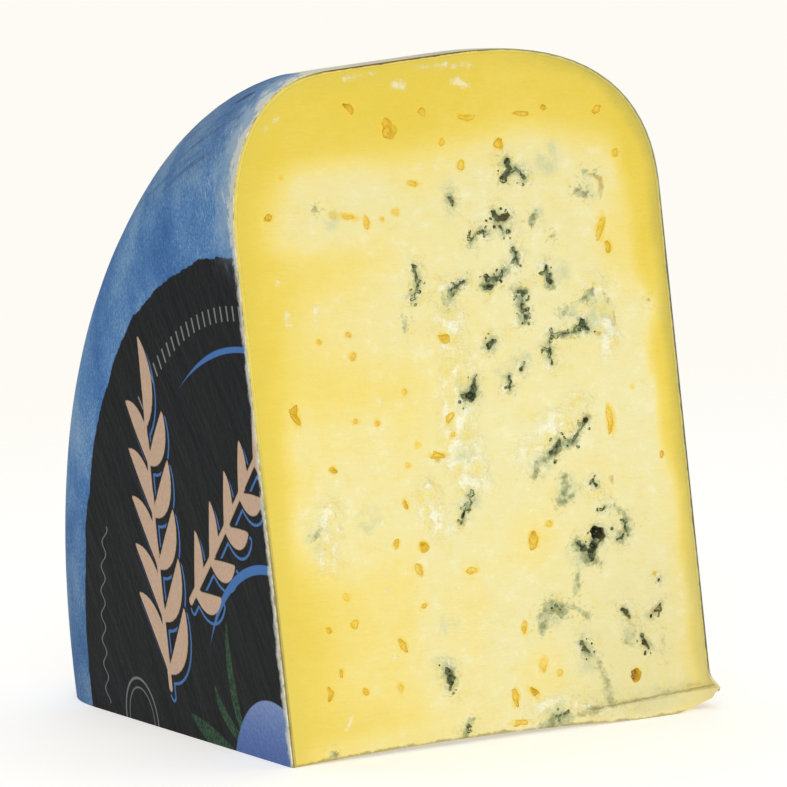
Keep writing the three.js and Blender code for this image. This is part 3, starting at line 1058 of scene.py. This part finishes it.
def coating_material():
    material, g, shader = new_material("coating")
    place = g.millimetres()
    broad = g.noise(place, 0.045, 5.0, 0.6)
    colour = g.ramp(broad, (0.3, srgb(206, 198, 156)), (0.5, srgb(230, 226, 196)),
                    (0.7, srgb(240, 237, 214)))
    stain = g.smooth(g.noise(place, 0.16, 5.0, 0.7), 0.56, 0.72)
    colour = g.mix(g.times(stain, 0.4), colour, srgb(158, 142, 96))
    colour = g.mix(g.field("foot"), colour, srgb(214, 204, 158))
    mottled = g.group(MOTTLE, Colour=colour, Place=place, Patch=0.5, Amount=0.3)
    surface(g, shader, mottled["Colour"], g.plus(g.times(broad, 0.3), 0.3))
    cloth = g.add("TexWave", wave_type="BANDS", bands_direction="Y")
    g.feed(cloth.inputs["Vector"], place)
    cloth.inputs["Scale"].default_value = 0.35
    cloth.inputs["Distortion"].default_value = 0.6
    bump(g, shader, g.plus(mottled["Height"], g.times(cloth.outputs[1], 0.15)), 0.35)
    shader.inputs["Coat Weight"].default_value = 0.25
    shader.inputs["Coat Roughness"].default_value = 0.3
    return material


def coating_cut_material():
    """The cut edge of the coating: a dark hair outside, turning brown at the crest as painted shadow of the
    gap under the lifted coating, and smeared over with paste inside.
    """
    material, g, shader = new_material("coating_cut")
    place = g.millimetres()
    line = g.smooth(g.plus(g.field("depth"), g.wobble(place, 0.5, 0.5, 4.0, 0.6)), 0.42, 0.22)
    shown = g.minus(1.0, g.times(g.field("left"), 0.9))
    shown = g.plus(shown, g.times(g.field("low"), 0.6), clamp=True)
    colour = g.mix(g.field("low"), srgb(230, 208, 92), srgb(190, 170, 78))
    colour = g.mix(g.field("right"), colour, srgb(206, 192, 100))
    up = g.split(place)[2]
    ink = g.mix(g.smooth(up, 80.0, 108.0), srgb(98, 92, 66), srgb(146, 142, 96))
    # Painted shadow: along the crest the hair turns dark brown, for the gap where the coating has lifted
    # from the paste.
    ink = g.mix(g.field("crest"), ink, srgb(112, 86, 38))
    colour = g.mix(g.times(line, shown), colour, ink)
    colour = g.mix(g.field("foot"), colour, srgb(214, 204, 158))
    colour = g.group(MOTTLE, Colour=colour, Place=place, Patch=0.6, Amount=0.5)["Colour"]
    surface(g, shader, colour, 0.6)
    return material


# ---------------------------------------------------------------- the label

def quarter_block(low_x, high_x):
    """A plain block behind the front cut and above the base, between two places across the wheel."""
    block = add_primitive(bpy.ops.mesh.primitive_cube_add, size=1)
    size = Vector((high_x - low_x, 160, 160)) * MM
    middle = Vector((MIDDLE_X + (low_x + high_x) / 2, FRONT_Y + 80, 80)) * MM
    block.data.transform(Matrix.Translation(middle) @ Matrix.Diagonal((*size, 1)))
    return block


def make_label():
    label = whole_wheel("label_paper", -PAPER, steps=360)
    side = SLIVER - THICKNESS / 2 - PAPER
    boolean(label, "INTERSECT", grid_block((side, -5, -10), (LABEL_EDGE, BEYOND, BEYOND), 0.6, "side"))
    boolean(label, "DIFFERENCE", whole_wheel("inside", -FIT, steps=360))
    boolean(label, "INTERSECT", quarter_block(-70, 0))
    points = points_of(label)
    flat = in_wheel(points)[:, (1, 2)]
    store(label, "sprig", chain_distance(flat, SPRIG))
    store(label, "sprig_shadow", chain_distance(flat + (0.9, 1.3), SPRIG))
    store(label, "leaves", chain_distance(flat, LEAVES))
    set_materials(label, print_material(), paper_edge_material())
    mark_cuts(label, points, rind_depth(points) < UNDERSIDE)
    settle(label)
    smooth_shade(label, 30)
    return label


# Places on the label are (back from the front cut, up from the base cut) along its flat side.

def curve(a, b, c, d, wide, narrow, steps=18):
    """A cubic curve from a to d, as a chain that is wide in its middle."""
    chain = []
    for i in range(steps + 1):
        t = i / steps
        s = 1 - t
        place = [s ** 3 * a[k] + 3 * s * s * t * b[k] + 3 * s * t * t * c[k] + t ** 3 * d[k]
                 for k in (0, 1)]
        chain.append((*place, narrow + (wide - narrow) * 4 * t * s))
    return tuple(chain)


def leaf(base, angle, length, width):
    """A teardrop leaf from its base, at an angle in degrees from straight up."""
    turn = math.radians(angle)
    aim = (math.sin(turn), math.cos(turn))
    side = (-aim[1] * 0.18 * length, aim[0] * 0.18 * length)
    knots = [(base[0] + aim[0] * length * k / 3 + side[0] * bend,
              base[1] + aim[1] * length * k / 3 + side[1] * bend)
             for k, bend in ((0, 0), (1, 1), (2, 1), (3, 0))]
    return curve(*knots, width, 0.35, 12)


def branch(foot, tip, pairs, length, width):
    """A straight stem with pairs of leaves and one leaf more at its tip."""
    run = (tip[0] - foot[0], tip[1] - foot[1])
    lean = math.degrees(math.atan2(*run))
    chains = [((*foot, 0.8), (*tip, 0.6)), leaf(tip, lean, length, width)]
    for i in range(pairs):
        at = [foot[k] + run[k] * (i + 0.3) / pairs for k in (0, 1)]
        for side in (-1, 1):
            chains.append(leaf(at, lean + side * 38, length * (1 - 0.25 * i / pairs), width))
    return tuple(chains)


SPRIG = branch((55, 10), (53, 60), 5, 17, 2.5) + branch((40, 28), (-4, 62), 5, 12, 2.0)
LEAVES = (
    curve((20, 2), (24, 9), (26, 16), (24, 26), 1.5, 0.2),
    curve((18, 1), (27, 6), (32, 8), (33, 13), 1.3, 0.2),
    curve((20, -1), (30, 0), (38, 3), (46, 6), 2.2, 0.3),
)


DISC_RADIUS, DISC_SPREAD = 94.2, 3.6  # at the front cut, and how much wider it is far back
TICK_RADIUS, TICK_STEP = 84.0, 2.9
STAMP = (72, 2)
BERRY, BERRY_RADIUS = (7.0, -9.0), 22.0


def print_material():
    """Paper printed with a dark disc on blue, plain ornament, and wear along the front edge."""
    material, g, shader = new_material("label_print")
    wheel = g.millimetres(turn=(0, LEAN, 0))
    _, y, z = g.split(wheel)
    back, up = g.minus(y, FRONT_Y), g.plus(z, MIDDLE_X * math.sin(LEAN))

    def reach(y, z):
        """How far a place is from (y, z)."""
        across, along = g.minus(back, y), g.minus(up, z)
        return g.math("SQRT", g.plus(g.times(across, across), g.times(along, along)))

    def ring(y, z, size):
        """How far a place is from a circle about (y, z)."""
        return g.math("ABSOLUTE", g.minus(reach(y, z), size))

    def printed(name, ink, share=1.0):
        mask = g.group(RAGGED, Distance=g.field(name), Place=wheel, Wander=0.03, Grain=2.0,
                       Softness=0.16)["Mask"]
        return g.mix(g.times(mask, share), colour, ink)

    radius = reach(0, 0)
    fibre = g.noise(g.millimetres(stretch=(1, 2.0, 0.5)), 1.2, 5.0, 0.7)
    speck = g.noise(wheel, 1.6, 4.0, 0.7)
    broad = g.noise(wheel, 0.05, 4.0, 0.6)
    blue = g.ramp(g.plus(g.times(speck, 0.5), g.times(broad, 0.5)), (0.38, srgb(56, 106, 168)),
                  (0.5, srgb(88, 138, 192)), (0.6, srgb(136, 172, 206)))
    black = g.ramp(fibre, (0.3, srgb(10, 13, 16)), (0.52, srgb(16, 19, 22)), (0.75, srgb(32, 34, 36)))
    beige = g.ramp(speck, (0.3, srgb(196, 164, 138)), (0.7, srgb(214, 184, 158)))
    disc_reach = g.plus(DISC_RADIUS, g.times(g.smooth(back, 20.0, 90.0), DISC_SPREAD))
    disc = g.group(RAGGED, Distance=g.minus(radius, disc_reach), Place=wheel, Wander=1.0,
                   Grain=0.07, Softness=0.15)["Mask"]
    colour = g.mix(disc, blue, black)
    # Painted shade: the print darkens towards the base of the label.
    colour = g.mix(g.times(g.smooth(up, 70.0, 5.0), 0.3), colour, srgb(0, 2, 6))

    # Thin lines: two tapering arcs, a row of ticks, a wavy line and a double ring.
    line_blue, line_grey = srgb(70, 118, 182), srgb(150, 150, 148)
    turn = g.times(g.math("ARCTAN2", back, up), TICK_RADIUS / TICK_STEP)
    tick = g.times(g.math("ABSOLUTE", g.minus(g.math("FRACT", turn), 0.5)), TICK_STEP)
    tick_row = g.times(g.smooth(ring(0, 0, TICK_RADIUS), 1.5, 1.35), g.smooth(turn, 21.5, 21.4))
    wave = g.minus(g.minus(radius, 89.0), g.math("SINE", g.times(up, 1.3)))
    wave_row = g.times(g.smooth(up, 3.0, 3.5), g.smooth(up, 38.5, 38.0))
    wave_row = g.times(wave_row, g.smooth(back, 60.0, 60.5))
    for gap, half, ink, share in (
            (ring(0, 10, 67.5), g.minus(g.times(g.smooth(back, 41.0, 14.0), 0.67), 0.12), line_blue, 1.0),
            (ring(1, -1.5, 39), g.minus(g.smooth(up, 17.0, 34.0), 0.12), line_blue, 1.0),
            (tick, g.minus(g.times(tick_row, 0.62), 0.3), line_grey, 0.75),
            (g.math("ABSOLUTE", wave), g.minus(g.times(wave_row, 0.42), 0.2), line_grey, 0.6),
            (ring(*STAMP, 8), 0.25, line_grey, 0.6), (ring(*STAMP, 6.2), 0.15, line_grey, 0.6)):
        mask = g.smooth(g.minus(gap, half), 0.12, -0.12)
        colour = g.mix(g.times(mask, share), colour, ink)

    colour = printed("leaves", g.ramp(speck, (0.4, srgb(18, 42, 32)), (0.62, srgb(62, 98, 66))), 0.9)
    berry_ink = g.ramp(g.plus(g.times(up, 0.03), g.times(speck, 0.6)), (0.2, srgb(60, 92, 152)),
                       (0.5, srgb(96, 122, 178)), (0.8, srgb(140, 160, 202)))
    berry = g.smooth(reach(*BERRY), BERRY_RADIUS + 0.15, BERRY_RADIUS - 0.15)
    colour = g.mix(berry, colour, berry_ink)
    shadow = g.smooth(g.math("ABSOLUTE", g.minus(g.field("sprig_shadow"), 0.3)), 0.36, 0.2)
    clear = g.smooth(g.field("sprig"), 0.45, 0.6)
    colour = g.mix(g.times(shadow, clear), colour, srgb(70, 118, 180))
    colour = printed("sprig", beige)

    # High up the blue is folded and dull, with painted shade in its folds, then rubbed pale, scratched and
    # worn along the front.
    high = g.smooth(up, 88.0, 108.0)
    crest = g.smooth(g.plus(up, g.times(back, 0.25)), 106.0, 124.0)
    # Painted shade in the paper's folds, as dark streaks near the crest.
    fold_shade = g.noise(g.millimetres(stretch=(0.5, 0.035, 0.9), turn=(0.35, 0, 0)), 0.9, 5.0, 0.65)
    rubbed = g.plus(back, g.times(g.noise(wheel, 0.12, 5.0, 0.7), -27.0))
    scratch = g.noise(g.millimetres(stretch=(0.5, 0.25, 1.8), turn=(-0.9, 0, 0)), 0.9, 4.0, 0.6)
    scratch = g.times(g.smooth(scratch, 0.6, 0.68), g.smooth(back, 26.0, 2.0))
    wear = g.times(g.noise(wheel, 0.3, 5.0, 0.7), g.plus(g.times(high, -13.0), -4.0))
    worn = g.smooth(g.plus(back, g.plus(wear, g.times(high, 5.0))), -0.3, -1.8)
    for mask, share, ink in (
            (crest, 0.4, srgb(92, 116, 146)),
            (g.smooth(fold_shade, 0.5, 0.68), g.times(crest, 0.8), srgb(40, 62, 94)),
            (g.times(g.smooth(rubbed, -2.0, -11.0), high), 0.8, srgb(164, 188, 206)),
            (scratch, g.times(high, 0.8), srgb(206, 220, 232)),
            (worn, 0.85, srgb(222, 222, 206))):
        colour = g.mix(g.times(mask, share), colour, ink)

    surface(g, shader, colour, g.plus(g.times(speck, 0.2), 0.6))
    crease = g.noise(g.millimetres(stretch=(0.3, 0.16, 0.05), turn=(0.6, 0, 0)), 1.0, 3.0)
    bump(g, shader, g.plus(g.times(fibre, 0.12), g.times(crease, 1.6)), 0.4)
    shader.inputs["Specular IOR Level"].default_value = 0.15
    return material


def paper_edge_material():
    material, g, shader = new_material("paper_edge")
    place = g.millimetres()
    torn = g.ramp(g.noise(place, 0.5, 5.0, 0.7), (0.38, srgb(150, 140, 96)), (0.5, srgb(214, 206, 160)),
                  (0.6, srgb(238, 236, 218)))
    colour = g.group(MOTTLE, Colour=torn, Place=place, Patch=0.8, Amount=0.4)
    surface(g, shader, colour["Colour"], 0.9)
    bump(g, shader, colour["Height"], 0.3)
    return material


# ---------------------------------------------------------------- the wedge

set_camera()
set_stage()
for make, node, slot in ((make_cheese, "cheese", "paste"), (make_coating, "rind_coating", "coating"),
                         (make_label, "paper_label", "label")):
    piece = make()
    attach(piece, "root")
    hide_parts(node)
